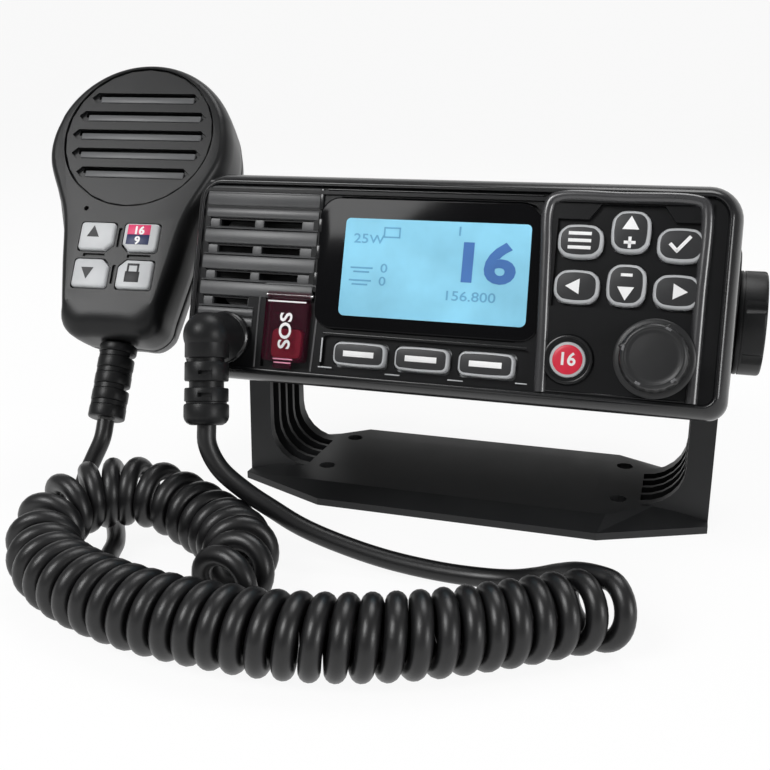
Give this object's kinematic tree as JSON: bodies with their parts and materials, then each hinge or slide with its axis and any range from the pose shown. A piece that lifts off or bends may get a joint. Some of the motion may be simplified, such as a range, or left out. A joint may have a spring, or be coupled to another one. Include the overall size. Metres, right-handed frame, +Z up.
{
  "type": "vhf marine radio",
  "caption": "Fixed-mount marine radio tilted back on a U bracket, with a fist handset joined to its panel by a curly cord.",
  "frame": {"origin": "underside of the bracket's base, straight below the tilt axis and midway between the arms", "axes": "+X to the radio's right as seen from its front, +Y to its rear, +Z up"},
  "size_m": [0.253, 0.2248, 0.1477],
  "materials": {
    "satin_black": "moulded bracket, side knobs and handset shells, fine satin grain",
    "bezel_black": "semi-gloss moulded front",
    "gloss_black": "polished keypad field, knob and socket",
    "cast_black": "black powder coat on die-cast aluminium",
    "grey_key": "light grey lacquered keys with dark centres",
    "red_key": "red lit key",
    "red_cover": "see-through dark red cover",
    "black_rubber": "soft black jacket and mouldings",
    "window_glass": "tinted display window",
    "display_glass": "lit light-blue display",
    "steel": "plated steel",
    "brass": "plated brass socket",
    "board": "glass-fibre circuit board"
  },
  "bodies": {
    "base": {"bracket": "satin_black", "radio_lead": "black_rubber", "curly_cord": "black_rubber", "handset_lead": "black_rubber"},
    "radio": {"left_washer": "black_rubber", "right_washer": "black_rubber", "front_bezel": "bezel_black", "front_seal": "black_rubber", "chassis_shell": "cast_black", "display_window": "window_glass", "lcd_module": "display_glass", "front_board": "board", "main_board": "board", "shield_can": "steel", "speaker_driver": "cast_black", "encoder_body": "steel", "distress_cover_pin": "steel", "mic_socket": "gloss_black", "plug_boot": "black_rubber", "bezel_screw_1": "steel", "bezel_screw_2": "steel", "bezel_screw_3": "steel", "bezel_screw_4": "steel", "antenna_socket": "brass", "gps_socket": "brass", "network_socket": "brass", "power_gland": "black_rubber"},
    "handset": {"handset_front_shell": "satin_black", "handset_back_shell": "satin_black", "handset_grille": "satin_black", "hang_button": "satin_black", "mic_capsule": "steel", "handset_speaker": "cast_black", "handset_board": "board", "strain_relief": "black_rubber"},
    "left_knob": {"left_bracket_knob": "satin_black"},
    "right_knob": {"right_bracket_knob": "satin_black"},
    "knob_shaft": {"encoder_shaft": "steel"},
    "knob": {"control_knob": "gloss_black"},
    "cover": {"distress_cover": "red_cover"},
    "distress_button": {"distress_key": "red_key"},
    "channel_button": {"channel_key": "red_key"},
    "talk": {"talk_lever": "black_rubber"},
    "menu_key_cap": {"menu_key": "grey_key"},
    "channel_up_key_cap": {"channel_up_key": "grey_key"},
    "enter_key_cap": {"enter_key": "grey_key"},
    "left_key_cap": {"left_key": "grey_key"},
    "channel_down_key_cap": {"channel_down_key": "grey_key"},
    "right_key_cap": {"right_key": "grey_key"},
    "soft_key_1_cap": {"soft_key_1": "grey_key"},
    "soft_key_2_cap": {"soft_key_2": "grey_key"},
    "soft_key_3_cap": {"soft_key_3": "grey_key"},
    "handset_up_key_cap": {"handset_up_key": "grey_key"},
    "handset_channel_key_cap": {"handset_channel_key": "grey_key"},
    "handset_down_key_cap": {"handset_down_key": "grey_key"},
    "handset_lock_key_cap": {"handset_lock_key": "grey_key"}
  },
  "joints": [
    {"name": "radio_tilt", "type": "hinge", "parent": "base", "child": "radio", "pos_m": [0, 0, 0.0664], "axis": [1, 0, 0], "range_deg": [-10, 13], "deforming": ["radio_lead"]},
    {"name": "left_knob_turn", "type": "hinge", "parent": "base", "child": "left_knob", "pos_m": [-0.089, 0, 0.0664], "axis": [1, 0, 0], "continuous": true},
    {"name": "right_knob_turn", "type": "hinge", "parent": "base", "child": "right_knob", "pos_m": [0.089, 0, 0.0664], "axis": [1, 0, 0], "continuous": true},
    {"name": "volume_turn", "type": "hinge", "parent": "radio", "child": "knob_shaft", "pos_m": [0.0622, -0.06256, 0.06808], "axis": [0, 0.9507, -0.31], "continuous": true},
    {"name": "volume_push", "type": "slide", "parent": "knob_shaft", "child": "knob", "axis": [0, 0.9507, -0.31], "range_m": [0, 0.0005], "stiffness_N_per_m": 400, "springref_m": -0.001},
    {"name": "distress_cover_lift", "type": "hinge", "parent": "radio", "child": "cover", "pos_m": [-0.0469, -0.05861, 0.07857], "axis": [-1, 0, 0], "range_deg": [0, 105], "stiffness_Nm_per_rad": 0.003, "springref_deg": -17.19},
    {"name": "distress_push", "type": "slide", "parent": "radio", "child": "distress_button", "axis": [0, 0.9507, -0.31], "range_m": [0, 0.001], "stiffness_N_per_m": 400, "springref_m": -0.001},
    {"name": "channel_push", "type": "slide", "parent": "radio", "child": "channel_button", "axis": [0, 0.9507, -0.31], "range_m": [0, 0.0008], "stiffness_N_per_m": 400, "springref_m": -0.001},
    {"name": "menu_key_push", "type": "slide", "parent": "radio", "child": "menu_key_cap", "axis": [0, 0.9507, -0.31], "range_m": [0, 0.0008], "stiffness_N_per_m": 400, "springref_m": -0.001},
    {"name": "channel_up_key_push", "type": "slide", "parent": "radio", "child": "channel_up_key_cap", "axis": [0, 0.9507, -0.31], "range_m": [0, 0.0008], "stiffness_N_per_m": 400, "springref_m": -0.001},
    {"name": "enter_key_push", "type": "slide", "parent": "radio", "child": "enter_key_cap", "axis": [0, 0.9507, -0.31], "range_m": [0, 0.0008], "stiffness_N_per_m": 400, "springref_m": -0.001},
    {"name": "left_key_push", "type": "slide", "parent": "radio", "child": "left_key_cap", "axis": [0, 0.9507, -0.31], "range_m": [0, 0.0008], "stiffness_N_per_m": 400, "springref_m": -0.001},
    {"name": "channel_down_key_push", "type": "slide", "parent": "radio", "child": "channel_down_key_cap", "axis": [0, 0.9507, -0.31], "range_m": [0, 0.0008], "stiffness_N_per_m": 400, "springref_m": -0.001},
    {"name": "right_key_push", "type": "slide", "parent": "radio", "child": "right_key_cap", "axis": [0, 0.9507, -0.31], "range_m": [0, 0.0008], "stiffness_N_per_m": 400, "springref_m": -0.001},
    {"name": "soft_key_1_push", "type": "slide", "parent": "radio", "child": "soft_key_1_cap", "axis": [0, 0.9507, -0.31], "range_m": [0, 0.0008], "stiffness_N_per_m": 400, "springref_m": -0.001},
    {"name": "soft_key_2_push", "type": "slide", "parent": "radio", "child": "soft_key_2_cap", "axis": [0, 0.9507, -0.31], "range_m": [0, 0.0008], "stiffness_N_per_m": 400, "springref_m": -0.001},
    {"name": "soft_key_3_push", "type": "slide", "parent": "radio", "child": "soft_key_3_cap", "axis": [0, 0.9507, -0.31], "range_m": [0, 0.0008], "stiffness_N_per_m": 400, "springref_m": -0.001},
    {"name": "handset_lift", "type": "slide", "parent": "base", "child": "handset", "axis": [0, 0, 1], "range_m": [0, 0.06], "deforming": ["handset_lead"]},
    {"name": "talk_press", "type": "hinge", "parent": "handset", "child": "talk", "pos_m": [-0.15552, -0.0129, 0.10758], "axis": [0.1273, -0.8318, 0.5402], "range_deg": [0, 2.5], "stiffness_Nm_per_rad": 0.5, "springref_deg": -5.73},
    {"name": "handset_up_key_push", "type": "slide", "parent": "handset", "child": "handset_up_key_cap", "axis": [-0.1273, 0.8318, -0.5402], "range_m": [0, 0.0008], "stiffness_N_per_m": 400, "springref_m": -0.001},
    {"name": "handset_channel_key_push", "type": "slide", "parent": "handset", "child": "handset_channel_key_cap", "axis": [-0.1273, 0.8318, -0.5402], "range_m": [0, 0.0008], "stiffness_N_per_m": 400, "springref_m": -0.001},
    {"name": "handset_down_key_push", "type": "slide", "parent": "handset", "child": "handset_down_key_cap", "axis": [-0.1273, 0.8318, -0.5402], "range_m": [0, 0.0008], "stiffness_N_per_m": 400, "springref_m": -0.001},
    {"name": "handset_lock_key_push", "type": "slide", "parent": "handset", "child": "handset_lock_key_cap", "axis": [-0.1273, 0.8318, -0.5402], "range_m": [0, 0.0008], "stiffness_N_per_m": 400, "springref_m": -0.001}
  ]
}
